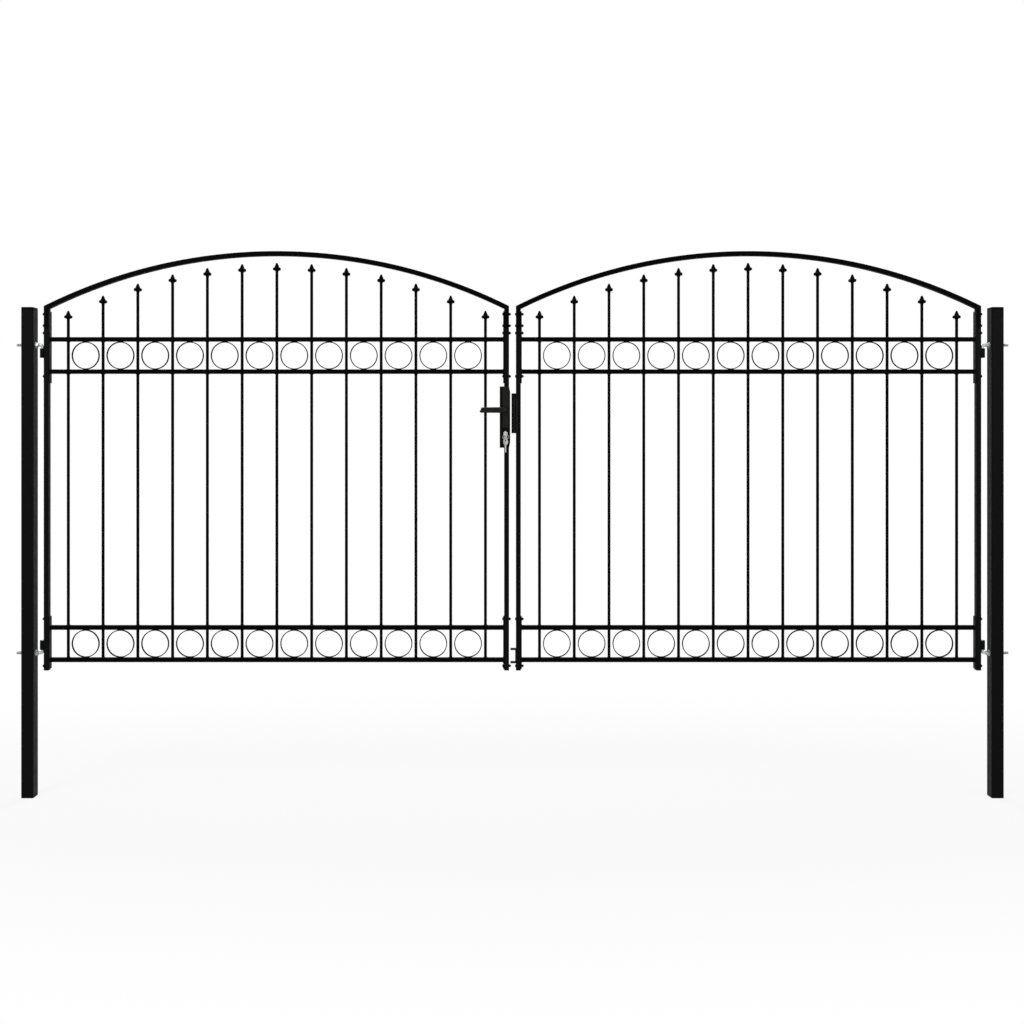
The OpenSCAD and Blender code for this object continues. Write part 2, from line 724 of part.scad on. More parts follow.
// One key in the cylinder, a ring through its bow and a spare key hanging from the ring
module keys() {
    shown = 2 * key_bow_r;
    bow_y = -cylinder_half - shown + key_bow_r / 2;
    hole_y = bow_y - key_hole_off;
    ring_z = cylinder_axis_z - key_hole_r + key_wire_d / 2 + key_play - key_ring_r;
    spare_hole_z = ring_z - key_ring_r + key_wire_d / 2 + key_play - key_hole_r;
    nickel() {
        translate([lock_axis_x, bow_y, cylinder_axis_z])
            flat_key(keyway_depth - key_fit - cylinder_half - bow_y);
        translate([lock_axis_x, hole_y, ring_z]) rotate([90, 0, 0])
            rotate_extrude() translate([key_ring_r, 0]) circle(d = key_wire_d);
        translate([lock_axis_x, hole_y, spare_hole_z - key_hole_off])
            rotate([0, 0, key_turn]) rotate([-90, 0, 0]) flat_key(key_len);
    }
}

// Side view of the lever, axis at the origin and tip towards -X
module lever_outline() {
    root_r = lever_root_h / 2;
    tip_r = lever_tip_h / 2;
    circle(root_r);
    polygon([[0, root_r], [lever_slant - lever_len, tip_r], [-lever_len, -tip_r], [0, -root_r]]);
}

// Top view of the lever's bar, with a round outer bend and a round tip
module lever_plan() {
    root_r = lever_root_h / 2;
    bend_x = root_r - lever_bend_r;
    tip_x = lever_tip_r - lever_len;
    translate([tip_x, -lever_t / 2]) square([bend_x - tip_x, lever_t]);
    translate([bend_x - cut, lever_bend_r - lever_t / 2]) square([lever_bend_r + cut, lever_t - lever_bend_r]);
    translate([bend_x, lever_bend_r - lever_t / 2]) circle(lever_bend_r);
    translate([-lever_len, lever_tip_r - lever_t / 2]) square([lever_tip_r + cut, lever_t - 2 * lever_tip_r]);
    for (side = [-1, 1]) translate([tip_x, side * (lever_t / 2 - lever_tip_r)]) circle(lever_tip_r);
}

module lever_bar() {
    intersection() {
        rotate([90, 0, 0]) linear_extrude(lever_t, center = true) lever_outline();
        linear_extrude(2 * lever_root_h, center = true) lever_plan();
        rotate([90, 0, 90]) linear_extrude(3 * lever_len, center = true)
            rounded_rect(lever_t, lever_root_h, lever_edge_r);
    }
}

module front_lever() {
    neck_h = lever_y - lock_d / 2 - seat_gap;
    satin_black() translate([lock_axis_x, 0, lever_axis_z]) difference() {
        union() {
            translate([0, -lever_y, 0]) lever_bar();
            translate([0, -lock_d / 2 - seat_gap - neck_h / 2, 0]) rod_y(lever_neck_d, neck_h);
        }
        translate([0, -lock_d / 2 - socket_h / 2, 0])
            cube([spindle_w + 2 * lever_fit, socket_h, spindle_w + 2 * lever_fit], center = true);
    }
}

module rear_lever() { mirror([0, 1, 0]) front_lever(); }

module lever_spindle() {
    zinc() translate([lock_axis_x, 0, lever_axis_z])
        cube([spindle_w, lock_d + 2 * (socket_h - seat_gap), spindle_w], center = true);
}

// A folded channel on the meeting stile, open to the latch and the deadbolt
module latch_keeper() {
    half_d = stile_d / 2 + keeper_t;
    flange_w = keeper_reach + keeper_lap;
    satin_black() translate([far_x - keeper_reach, 0, 0]) difference() {
        translate([0, -half_d, keeper_z0]) cube([flange_w, 2 * half_d, keeper_h]);
        translate([keeper_t, -stile_d / 2, keeper_z0 - cut]) cube([flange_w, stile_d, keeper_h + 2 * cut]);
        translate([0, 0, lock_z0]) window(latch_z, latch_h, keeper_window_fit);
        translate([0, 0, lock_z0]) window(deadbolt_z, deadbolt_h, keeper_window_fit);
    }
}

// A bracket with two drilled ears that guide a drop rod
module drop_rod_bracket() {
    satin_black() translate([far_x, 0, bracket_z0]) difference() {
        translate([-bracket_reach, -bracket_d / 2, 0]) cube([bracket_reach, bracket_d, bracket_h]);
        translate([-bracket_reach - cut, -bracket_d / 2 - cut, ear_t])
            cube([bracket_reach - bracket_base_t + cut, bracket_d + 2 * cut, bracket_h - 2 * ear_t]);
        translate([-rod_off, 0, -cut]) cylinder(d = rod_hole_d, h = bracket_h + 2 * cut);
    }
}

post();  // left_post
opposite() post();  // right_post
post_cap();  // left_post_cap
opposite() post_cap();  // right_post_cap
hinge_hooks();  // left_hinge_hooks
opposite() hinge_hooks();  // right_hinge_hooks
hinge_nuts();  // left_hinge_nuts
opposite() hinge_nuts();  // right_hinge_nuts
hinge_stile();  // left_hinge_stile
lock_stile();  // left_meeting_stile
top_bow();  // left_top_bow
end_plates();  // left_end_plates
rails();  // left_rails
pickets();  // left_pickets
finials();  // left_finials
upper_rings();  // left_upper_rings
lower_rings();  // left_lower_rings
knuckles();  // left_knuckles
frame_bolts();  // left_frame_bolts
stile_plugs();  // left_stile_plugs
lock_box();
lock_faceplate();
front_handle_plate();
rear_handle_plate();
lock_cylinder();
keys();
front_lever();
rear_lever();
lever_spindle();
opposite() hinge_stile();  // right_hinge_stile
opposite() meeting_stile();  // right_meeting_stile
opposite() top_bow();  // right_top_bow
opposite() end_plates();  // right_end_plates
opposite() rails();  // right_rails
opposite() pickets();  // right_pickets
opposite() finials();  // right_finials
opposite() upper_rings();  // right_upper_rings
opposite() lower_rings();  // right_lower_rings
opposite() knuckles();  // right_knuckles
opposite() frame_bolts();  // right_frame_bolts
opposite() stile_plugs();  // right_stile_plugs
latch_keeper();
drop_rod_bracket();
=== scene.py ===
"""Looks of a double driveway gate: powder-coated leaves and posts, plated hooks, lock and keys."""

import json
import math

import bmesh
import bpy
from mathutils import Matrix, Vector

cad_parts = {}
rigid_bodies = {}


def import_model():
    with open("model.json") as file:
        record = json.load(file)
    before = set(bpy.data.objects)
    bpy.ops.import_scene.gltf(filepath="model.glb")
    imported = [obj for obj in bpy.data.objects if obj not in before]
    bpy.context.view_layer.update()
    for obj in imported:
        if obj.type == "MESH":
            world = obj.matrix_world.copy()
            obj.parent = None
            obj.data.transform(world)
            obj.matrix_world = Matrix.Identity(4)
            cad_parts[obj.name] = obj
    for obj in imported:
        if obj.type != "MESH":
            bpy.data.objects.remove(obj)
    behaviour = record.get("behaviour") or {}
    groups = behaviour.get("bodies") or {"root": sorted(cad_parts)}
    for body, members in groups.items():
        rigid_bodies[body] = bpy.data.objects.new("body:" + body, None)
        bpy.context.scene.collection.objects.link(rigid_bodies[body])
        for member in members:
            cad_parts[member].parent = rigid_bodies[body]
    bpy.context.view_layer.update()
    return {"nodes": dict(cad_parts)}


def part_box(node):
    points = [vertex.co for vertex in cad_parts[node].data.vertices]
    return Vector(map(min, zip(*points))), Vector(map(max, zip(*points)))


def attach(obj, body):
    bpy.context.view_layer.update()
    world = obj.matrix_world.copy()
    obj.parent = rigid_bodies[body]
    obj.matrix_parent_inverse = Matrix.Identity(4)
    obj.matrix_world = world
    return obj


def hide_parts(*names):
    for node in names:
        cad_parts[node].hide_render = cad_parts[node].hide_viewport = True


for leftover in list(bpy.data.objects):
    bpy.data.objects.remove(leftover)
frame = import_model()
NODES = frame["nodes"]

MM = 0.001
TURN = 2 * math.pi
ONE = (1.0, 1.0, 1.0)  # a stamp at its own size
FLAT = (0.0, 0.0, 0.0)  # a stamp that isn't turned


# Shapes in millimetres


def span(node_name):
    """The lowest and highest corner of a CAD node, in millimetres."""
    lo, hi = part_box(node_name)
    return lo / MM, hi / MM


def disc(r, n):
    """A round loop of n points in the XY plane."""
    return [(r * math.cos(TURN * i / n), r * math.sin(TURN * i / n)) for i in range(n)]


def oval(a, b, power, n):
    """A loop between an ellipse (power 2) and a rectangle (a large power)."""
    points = []
    for i in range(n):
        c, s = math.cos(TURN * (i + 0.5) / n), math.sin(TURN * (i + 0.5) / n)
        points.append(
            (a * math.copysign(abs(c) ** (2 / power), c), b * math.copysign(abs(s) ** (2 / power), s))
        )
    return points


def rounded(w, d, r, n):
    """A rectangle with round corners as a loop, n points to a corner."""
    points = []
    for k, (sx, sy) in enumerate(((1, 1), (-1, 1), (-1, -1), (1, -1))):
        for i in range(n):
            a = math.pi / 2 * (k + i / (n - 1))
            points.append((sx * (w / 2 - r) + r * math.cos(a), sy * (d / 2 - r) + r * math.sin(a)))
    return points


def arc(r, z, wide, high, start, end, n):
    """Part of an ellipse about (r, z) in a profile, between two angles in degrees."""
    turns = [math.radians(start + (end - start) * k / n) for k in range(n + 1)]
    return [(r + wide * math.cos(a), z + high * math.sin(a)) for a in turns]


def along_x(loop, x):
    """A flat loop set upright, across X at this place."""
    return [(x, p[0], p[1]) for p in loop]


def along_z(loop, z):
    """A flat loop at this height."""
    return [(p[0], p[1], z) for p in loop]


def smooth(mesh, sharp=35):
    """Smooth shading, with a break at edges past this angle in degrees."""
    mesh.shade_smooth()
    mesh.set_sharp_from_angle(angle=math.radians(sharp))
    return mesh


class Shape:
    """Faces gathered in millimetres and handed out as one mesh in metres."""

    def __init__(self):
        self.bm = bmesh.new()

    def loft(self, rings, matrix=None, closed=False):
        """Joins loops of equal length in order. A closed row is a ring, an open one gets end faces."""
        matrix = matrix or Matrix()
        rows = [[self.bm.verts.new(matrix @ Vector(p)) for p in ring] for ring in rings]
        pairs = list(zip(rows, rows[1:])) + ([(rows[-1], rows[0])] if closed else [])
        for a, b in pairs:
            for i in range(len(a)):
                j = (i + 1) % len(a)
                self.bm.faces.new((a[i], a[j], b[j], b[i]))
        if not closed:
            self.bm.faces.new(rows[0][::-1])
            self.bm.faces.new(rows[-1])
        return self

    def lathe(self, profile, n=32, matrix=None, closed=False):
        """Turns a profile of (radius, height) pairs about Z."""
        return self.loft([along_z(disc(r, n), z) for r, z in profile], matrix, closed)

    def mesh(self, name, sharp=35):
        """The faces as one clean mesh in metres, which ends the shape."""
        bm = self.bm
        bmesh.ops.remove_doubles(bm, verts=bm.verts, dist=1e-4)
        bmesh.ops.recalc_face_normals(bm, faces=bm.faces)
        bmesh.ops.scale(bm, vec=(MM, MM, MM), verts=bm.verts)
        made = bpy.data.meshes.new(name)
        bm.to_mesh(made)
        bm.free()
        return smooth(made, sharp)


def new_object(name, data):
    """An object in the scene, at the origin."""
    obj = bpy.data.objects.new(name, data)
    bpy.context.scene.collection.objects.link(obj)
    return obj


def put(name, mesh, material, body, slot, *stands_for):
    """Makes a finished piece of a mesh, with its material, on its body; the slot argument is not used.
    """
    obj = new_object(name, mesh)
    mesh.materials.clear()
    mesh.materials.append(material)
    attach(obj, body)
    if stands_for:
        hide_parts(*stands_for)


def plain_copy(obj):
    """The evaluated mesh of an object, without its modifiers."""
    bpy.context.view_layer.update()
    made = bpy.data.meshes.new_from_object(obj.evaluated_get(bpy.context.evaluated_depsgraph_get()))
    bpy.data.objects.remove(obj)
    return made


def softened(node_name, width):
    """A copy of a CAD node's mesh with its sharp edges rounded by a width in millimetres."""
    bm = bmesh.new()
    bm.from_mesh(NODES[node_name].data)
    bmesh.ops.remove_doubles(bm, verts=bm.verts, dist=2e-6)
    bmesh.ops.dissolve_limit(bm, angle_limit=math.radians(0.4), verts=bm.verts, edges=bm.edges)
    bmesh.ops.recalc_face_normals(bm, faces=bm.faces)
    mesh = bpy.data.meshes.new(node_name + "_soft")
    bm.to_mesh(mesh)
    bm.free()
    obj = new_object("soft_draft", mesh)
    bevel = obj.modifiers.new("edges", "BEVEL")
    bevel.width = width * MM
    bevel.segments = 2
    bevel.limit_method = "ANGLE"
    bevel.angle_limit = math.radians(40)
    return smooth(plain_copy(obj))


# Materials


def group_socket(tree, name, kind, way, value=None):
    """A named input or output of a node group, with its starting value."""
    socket = tree.interface.new_socket(name, in_out=way, socket_type="NodeSocket" + kind)
    if value is not None:
        socket.default_value = value


def node(tree, kind, inputs=(), **settings):
    """A node with its settings, and its inputs set or linked by name or number."""
    made = tree.nodes.new(kind)
    for key, value in settings.items():
        setattr(made, key, value)
    for key, value in dict(inputs).items():
        socket = made.inputs[key]
        if isinstance(value, bpy.types.NodeSocket):
            tree.links.new(value, socket)
        else:
            socket.default_value = value
    return made


def noise(tree, vector, scale, detail=3.0, rough=0.5):
    """The grey value of a noise texture."""
    inputs = {"Vector": vector, "Scale": scale, "Detail": detail, "Roughness": rough}
    return node(tree, "ShaderNodeTexNoise", inputs).outputs["Fac"]


def math_node(tree, operation, a, b=0.0):
    """What a sum on two values gives."""
    return node(tree, "ShaderNodeMath", {0: a, 1: b}, operation=operation).outputs[0]


def stretched(tree, vector, factors):
    """Coordinates times a factor each, where a small one draws a pattern out along its axis."""
    return node(tree, "ShaderNodeVectorMath", {0: vector, 1: factors}, operation="MULTIPLY").outputs[0]


def ramp(tree, value, low, high, to_low=0.0, to_high=1.0):
    """A smooth step of a value between two levels."""
    inputs = {"Value": value, "From Min": low, "From Max": high, "To Min": to_low, "To Max": to_high}
    return node(tree, "ShaderNodeMapRange", inputs, interpolation_type="SMOOTHSTEP").outputs["Result"]


def make_peel_group():
    """The fine orange peel of baked powder, with a slower waviness under it."""
    tree = bpy.data.node_groups.new("powder_peel", "ShaderNodeTree")
    group_socket(tree, "Vector", "Vector", "INPUT")
    group_socket(tree, "Size", "Float", "INPUT", 700.0)
    group_socket(tree, "Height", "Float", "OUTPUT")
    group_socket(tree, "Sheen", "Float", "OUTPUT")
    start, end = node(tree, "NodeGroupInput"), node(tree, "NodeGroupOutput")
    fine = noise(tree, start.outputs["Vector"], start.outputs["Size"], 2.0, 0.45)
    slow = noise(tree, start.outputs["Vector"], 55.0, 2.0)
    tree.links.new(math_node(tree, "ADD", fine, slow), end.inputs["Height"])
    tree.links.new(ramp(tree, slow, 0.3, 0.7), end.inputs["Sheen"])
    return tree


def make_dirt_and_toplight_group():
    """Dust that settles on faces that look up, in uneven patches; the lightening of up-facing faces is
    also painted top light.
    """
    tree = bpy.data.node_groups.new("settled_dirt_and_painted_toplight", "ShaderNodeTree")
    group_socket(tree, "Vector", "Vector", "INPUT")
    group_socket(tree, "Amount", "Float", "INPUT", 0.3)
    group_socket(tree, "Factor", "Float", "OUTPUT")
    start, end = node(tree, "NodeGroupInput"), node(tree, "NodeGroupOutput")
    up = node(tree, "ShaderNodeSeparateXYZ", {0: node(tree, "ShaderNodeNewGeometry").outputs["Normal"]})
    # Faces that look up turn lighter: painted top light, broken up by the dirt patches below.
    facing = ramp(tree, up.outputs["Z"], 0.35, 1.0)
    patches = ramp(tree, noise(tree, start.outputs["Vector"], 38.0, 5.0, 0.62), 0.36, 0.7)
    dirt_and_toplight = math_node(tree, "MULTIPLY", facing, patches)
    tree.links.new(math_node(tree, "MULTIPLY", dirt_and_toplight, start.outputs["Amount"]), end.inputs["Factor"])
    return tree


def make_rub_group():
    """Thin rubbed streaks and specks where the finish has been handled."""
    tree = bpy.data.node_groups.new("rubbed_marks", "ShaderNodeTree")
    group_socket(tree, "Vector", "Vector", "INPUT")
    group_socket(tree, "Amount", "Float", "INPUT", 0.2)
    group_socket(tree, "Factor", "Float", "OUTPUT")
    start, end = node(tree, "NodeGroupInput"), node(tree, "NodeGroupOutput")
    long = stretched(tree, start.outputs["Vector"], (1.0, 1.0, 0.16))
    streaks = ramp(tree, noise(tree, long, 260.0, 3.0), 0.66, 0.74)
    where = ramp(tree, noise(tree, start.outputs["Vector"], 9.0, 2.0), 0.5, 0.66)
    rub = math_node(tree, "MULTIPLY", streaks, where)
    tree.links.new(math_node(tree, "MULTIPLY", rub, start.outputs["Amount"]), end.inputs["Factor"])
    return tree


def make_brush_group():
    """Fine lines of a drawn or brushed metal, along Z."""
    tree = bpy.data.node_groups.new("drawn_lines", "ShaderNodeTree")
    group_socket(tree, "Vector", "Vector", "INPUT")
    group_socket(tree, "Size", "Float", "INPUT", 900.0)
    group_socket(tree, "Height", "Float", "OUTPUT")
    group_socket(tree, "Cloud", "Float", "OUTPUT")
    start, end = node(tree, "NodeGroupInput"), node(tree, "NodeGroupOutput")
    drawn = stretched(tree, start.outputs["Vector"], (1.0, 1.0, 0.04))
    tree.links.new(noise(tree, drawn, start.outputs["Size"], 2.0), end.inputs["Height"])
    cloud = noise(tree, start.outputs["Vector"], 120.0, 4.0, 0.6)
    tree.links.new(ramp(tree, cloud, 0.3, 0.72), end.inputs["Cloud"])
    return tree


PEEL, DIRT_AND_TOPLIGHT, RUB, BRUSH = make_peel_group(), make_dirt_and_toplight_group(), make_rub_group(), make_brush_group()


def start_material(name):
    """A new material with its tree, its shader and Object coordinates."""
    mat = bpy.data.materials.new(name)
    mat.use_nodes = True
    tree = mat.node_tree
    shader = next(n for n in tree.nodes if n.type == "BSDF_PRINCIPLED")
    coords = node(tree, "ShaderNodeTexCoord").outputs["Object"]
    return mat, tree, shader, coords


def fill_group(tree, group, inputs):
    """A shader group placed in a material with its own values."""
    return node(tree, "ShaderNodeGroup", inputs, node_tree=group)


def mixed(tree, factor, a, b):
    """A colour between a and b, each a socket or a triple."""
    ends = [c if isinstance(c, bpy.types.NodeSocket) else (*c, 1.0) for c in (a, b)]
    return node(tree, "ShaderNodeMix", {0: factor, 6: ends[0], 7: ends[1]}, data_type="RGBA").outputs[2]


def bump(tree, shader, height, strength, distance):
    """Lets a height push the shader's normal."""
    made = node(tree, "ShaderNodeBump", {"Strength": strength, "Distance": distance, "Height": height})
    tree.links.new(made.outputs["Normal"], shader.inputs["Normal"])


RUBBED = (0.02, 0.02, 0.0205)
# The tint of dirt on faces that look up, which also serves as painted top light.
DIRT_AND_TOPLIGHT_TINT = (0.10, 0.095, 0.085)


def coated(name, colour, rough, specular, peel, depth, dirt_and_toplight=0.25, rubbed=0.25):
    """A baked coat or a moulded plastic: peel, patchy sheen and rubbed marks. Dust lies thinly on faces
    that look up, whose lightening is partly painted top light.
    """
    mat, tree, shader, coords = start_material(name)
    skin = fill_group(tree, PEEL, {"Vector": coords, "Size": peel})
    dirt_and_toplight_mask = fill_group(tree, DIRT_AND_TOPLIGHT, {"Vector": coords, "Amount": dirt_and_toplight})
    marks = fill_group(tree, RUB, {"Vector": coords, "Amount": rubbed})
    lighter = tuple(1.35 * c for c in colour)
    base = mixed(tree, skin.outputs["Sheen"], colour, lighter)
    base = mixed(tree, marks.outputs["Factor"], base, RUBBED)
    # Lighter on faces that look up: dirt in patches, and painted top light.
    base = mixed(tree, dirt_and_toplight_mask.outputs["Factor"], base, DIRT_AND_TOPLIGHT_TINT)
    tree.links.new(base, shader.inputs["Base Color"])
    sheen = ramp(tree, skin.outputs["Sheen"], 0.0, 1.0, rough - 0.05, rough + 0.05)
    dull = math_node(tree, "MULTIPLY", dirt_and_toplight_mask.outputs["Factor"], 0.4)
    tree.links.new(math_node(tree, "ADD", sheen, dull), shader.inputs["Roughness"])
    shader.inputs["Specular IOR Level"].default_value = specular
    bump(tree, shader, skin.outputs["Height"], 0.22, depth)
    return mat


def plated(name, colour, shade, rough, lines, metal):
    """A plated metal with drawn lines, cloudy plating and a little grime."""
    mat, tree, shader, coords = start_material(name)
    grain = fill_group(tree, BRUSH, {"Vector": coords, "Size": lines})
    marks = fill_group(tree, RUB, {"Vector": coords, "Amount": 0.2})
    base = mixed(tree, grain.outputs["Cloud"], shade, colour)
    base = mixed(tree, marks.outputs["Factor"], base, tuple(0.45 * c for c in shade))
    tree.links.new(base, shader.inputs["Base Color"])
    shader.inputs["Metallic"].default_value = metal
    worn = ramp(tree, grain.outputs["Cloud"], 0.0, 1.0, rough + 0.12, rough)
    tree.links.new(worn, shader.inputs["Roughness"])
    bump(tree, shader, grain.outputs["Height"], 0.06, 0.0001)
    return mat


PAINT = coated("powder_black", (0.0024, 0.0024, 0.0026), 0.46, 0.05, 720.0, 0.0003)
# The same powder coat, darker and less glossy on the rails, pickets, rings, spears and bows: painted
# shade.
BAR = coated("bar_black", (0.0012, 0.0012, 0.0013), 0.5, 0.022, 720.0, 0.0003)
BEAD = coated("painted_weld", (0.003, 0.003, 0.0032), 0.45, 0.06, 520.0, 0.0005, 0.3)
CAP = coated("cap_plastic", (0.0014, 0.0014, 0.0015), 0.5, 0.03, 1500.0, 0.0002, 0.3, 0.1)
# A black lighter than the powder coat for the handle plates and levers: partly their own lacquer, partly
# painted highlight.
GRIP = coated("handle_lacquer", (0.009, 0.009, 0.008), 0.36, 0.11, 1100.0, 0.0002, 0.2, 0.3)
BOLT = coated("black_bolt", (0.005, 0.005, 0.0052), 0.4, 0.1, 900.0, 0.0002, 0.3, 0.4)
ZINC = plated("zinc_plate", (0.66, 0.67, 0.68), (0.48, 0.49, 0.5), 0.36, 700.0, 0.8)
NICKEL = plated("nickel_plate", (0.68, 0.67, 0.64), (0.5, 0.49, 0.47), 0.26, 1400.0, 0.85)

FINISH = {
    "black_paint": PAINT,
    "black_plastic": CAP,
    "handle_black": GRIP,
    "zinc": ZINC,
    "nickel": NICKEL,
}
for name, part in NODES.items():
    # The rails and pickets take the darker bar black: painted shade.
    thin = name.endswith(("_rails", "_pickets"))
    for slot in part.material_slots:
        slot.material = BAR if thin else FINISH[slot.material.name.split(".")[0]]


# Sizes that repeat those of the solids

PICKETS = 13  # on each leaf
FINIAL_H = 36.0
BOW_WIDE, BOW_THICK = 20.0, 19.0  # of the bow's legs, and of its arch
SPLICE = 24.0  # a stile with its end plate
KNUCKLE_H = 38.0
HOOK_R = 6.0
POST_CORNER, CAP_H = 4.0, 12.0
CORNER_Z = 2005.0  # where the bow's legs meet its arch
BOLT_Z = (1925.0, 1895.0, 1972.0, 1718.0, 726.0, 534.0)

# Sizes of the looks alone

RING_BAR = 3.8
BOW_EDGE = 2.5

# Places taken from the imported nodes

low, high = span("left_rails")
RAIL = high.y - low.y
low, high = span("left_hinge_hooks")
HOOK_Z = (high.z - HOOK_R, low.z + HOOK_R)
low, high = span("lever_spindle")
AXIS = (low + high) / 2
low, high = span("lock_cylinder")
CYLINDER_Z = high.z - (high.x - low.x) / 2
LEAF = {}
for side in ("left", "right"):
    low, high = span(side + "_pickets")
    half = (high.y - low.y) / 2
    first, last = low.x + half, high.x - half
    rails_low, rails_high = span(side + "_rails")
    upper_low, upper_high = span(side + "_upper_rings")
    lower_low, lower_high = span(side + "_lower_rings")
    top, bottom = rails_high.z - RAIL / 2, rails_low.z + RAIL / 2
    LEAF[side] = {
        "body": side + "_leaf",
        "picket_x": [first + (last - first) * i / (PICKETS - 1) for i in range(PICKETS)],
        "picket_r": half,
        "rail_x": (rails_low.x, rails_high.x),
        "rail_z": [top, upper_low.z + upper_high.z - top, lower_low.z + lower_high.z - bottom, bottom],
    }


# Geometry Nodes that set one of several stamps on each point


def make_stamp_tree():
    """Each point carries the kind, the turn and the size of its stamp, with some play in the size."""
    tree = bpy.data.node_groups.new("stamp_points", "GeometryNodeTree")
    group_socket(tree, "Geometry", "Geometry", "INPUT")
    group_socket(tree, "Stamps", "Collection", "INPUT")
    group_socket(tree, "Finish", "Material", "INPUT")
    group_socket(tree, "Play", "Float", "INPUT", 0.0)
    group_socket(tree, "Seed", "Int", "INPUT", 0)
    group_socket(tree, "Geometry", "Geometry", "OUTPUT")
    start, end = node(tree, "NodeGroupInput"), node(tree, "NodeGroupOutput")
    stamps = node(
        tree,
        "GeometryNodeCollectionInfo",
        {"Collection": start.outputs["Stamps"], "Separate Children": True, "Reset Children": True},
    )
    turn = node(tree, "GeometryNodeInputNamedAttribute", {"Name": "turn"}, data_type="FLOAT_VECTOR")
    grow = node(tree, "GeometryNodeInputNamedAttribute", {"Name": "grow"}, data_type="FLOAT_VECTOR")
    kind = node(tree, "GeometryNodeInputNamedAttribute", {"Name": "kind"}, data_type="INT")
    low = math_node(tree, "SUBTRACT", 1.0, start.outputs["Play"])
    high = math_node(tree, "ADD", 1.0, start.outputs["Play"])
    chance = tree.nodes.new("FunctionNodeRandomValue")
    chance.data_type = "FLOAT"
    floats = [s for s in chance.inputs if s.type == "VALUE"]
    tree.links.new(low, floats[0])
    tree.links.new(high, floats[1])
    tree.links.new(start.outputs["Seed"], chance.inputs["Seed"])
    luck = next(s for s in chance.outputs if s.type == "VALUE")
    size = node(tree, "ShaderNodeVectorMath", {0: grow.outputs[0], "Scale": luck}, operation="SCALE")
    angle = node(tree, "FunctionNodeEulerToRotation", {0: turn.outputs[0]})
    laid = node(
        tree,
        "GeometryNodeInstanceOnPoints",
        {
            "Points": start.outputs["Geometry"],
            "Instance": stamps.outputs[0],
            "Pick Instance": True,
            "Instance Index": kind.outputs[0],
            "Rotation": angle.outputs[0],
            "Scale": size.outputs[0],
        },
    )
    real = node(tree, "GeometryNodeRealizeInstances", {0: laid.outputs[0]})
    finish = {"Geometry": real.outputs[0], "Material": start.outputs["Finish"]}
    painted = node(tree, "GeometryNodeSetMaterial", finish)
    tree.links.new(painted.outputs[0], end.inputs[0])
    return tree


STAMP = make_stamp_tree()


def stamp_set(name, shapes):
    """A hidden collection of stamp meshes, in the order of their kinds."""
    kept = bpy.data.collections.new(name)
    for i, shape in enumerate(shapes):
        kept.objects.link(bpy.data.objects.new(f"{name}_{i:02d}", shape.mesh(f"{name}_{i:02d}")))
    return kept


def stamped(name, stamps, spots, material, play=0.0, seed=1):
    """One mesh with a stamp on each spot: (kind, place in mm, turn, size)."""
    points = bpy.data.meshes.new(name + "_points")
    points.from_pydata([Vector(s[1]) * MM for s in spots], [], [])
    for key, sort in (("turn", "FLOAT_VECTOR"), ("grow", "FLOAT_VECTOR"), ("kind", "INT")):
        points.attributes.new(key, sort, "POINT")
    notes = points.attributes
    for i, (kind, _, turn, size) in enumerate(spots):
        notes["turn"].data[i].vector = turn
        notes["grow"].data[i].vector = size
        notes["kind"].data[i].value = kind
    obj = new_object(name + "_draft", points)
    laid = obj.modifiers.new("stamp", "NODES")
    laid.node_group = STAMP
    wanted = {"Stamps": stamps, "Finish": material, "Play": play, "Seed": seed}
    for item in STAMP.interface.items_tree:
        if item.in_out == "INPUT" and item.name in wanted:
            laid[item.identifier] = wanted[item.name]
    made = plain_copy(obj)
    made.name = name
    return smooth(made)


# Rings and finials


def ring_shape(r, thick, depth, edge=0.5):
    """A ring of flat bar about Y with eased edges."""
    half, inner = depth / 2, r - thick
    profile = [(r, edge - half), (r, half - edge), (r - edge, half), (inner + edge, half)]
    profile += [(inner, half - edge), (inner, edge - half), (inner + edge, -half), (r - edge, -half)]
    return Shape().lathe(profile, 96, Matrix.Rotation(math.pi / 2, 4, "X"), closed=True)


def finial_shape():
    """A cast spear: round neck, thick collar with a rolled rim, hollowed shoulders and a blunt point."""
    neck_r, roll_r, roll, flank_r, tip_r = 6.9, 12.4, 4.0, 9.3, 4.0
    neck_z, rim_z, rim_top, flank_z, tip_z = 2.2, 4.9, 16.8, 19.5, 33.4
    profile = [(neck_r - 0.5, 0.0), (neck_r, 0.5)]
    profile += arc(roll_r, neck_z, roll_r - neck_r, rim_z - neck_z, 180, 90, 4)
    profile += arc(roll_r, (rim_z + rim_top) / 2, roll, (rim_top - rim_z) / 2, -90, 90, 10)[1:]
    profile += arc(roll_r, flank_z, roll_r - flank_r, flank_z - rim_top, -90, -180, 4)[1:]
    profile += arc(0.0, tip_z, tip_r, FINIAL_H - tip_z, 0, 90, 5)
    return Shape().lathe(profile, 40)


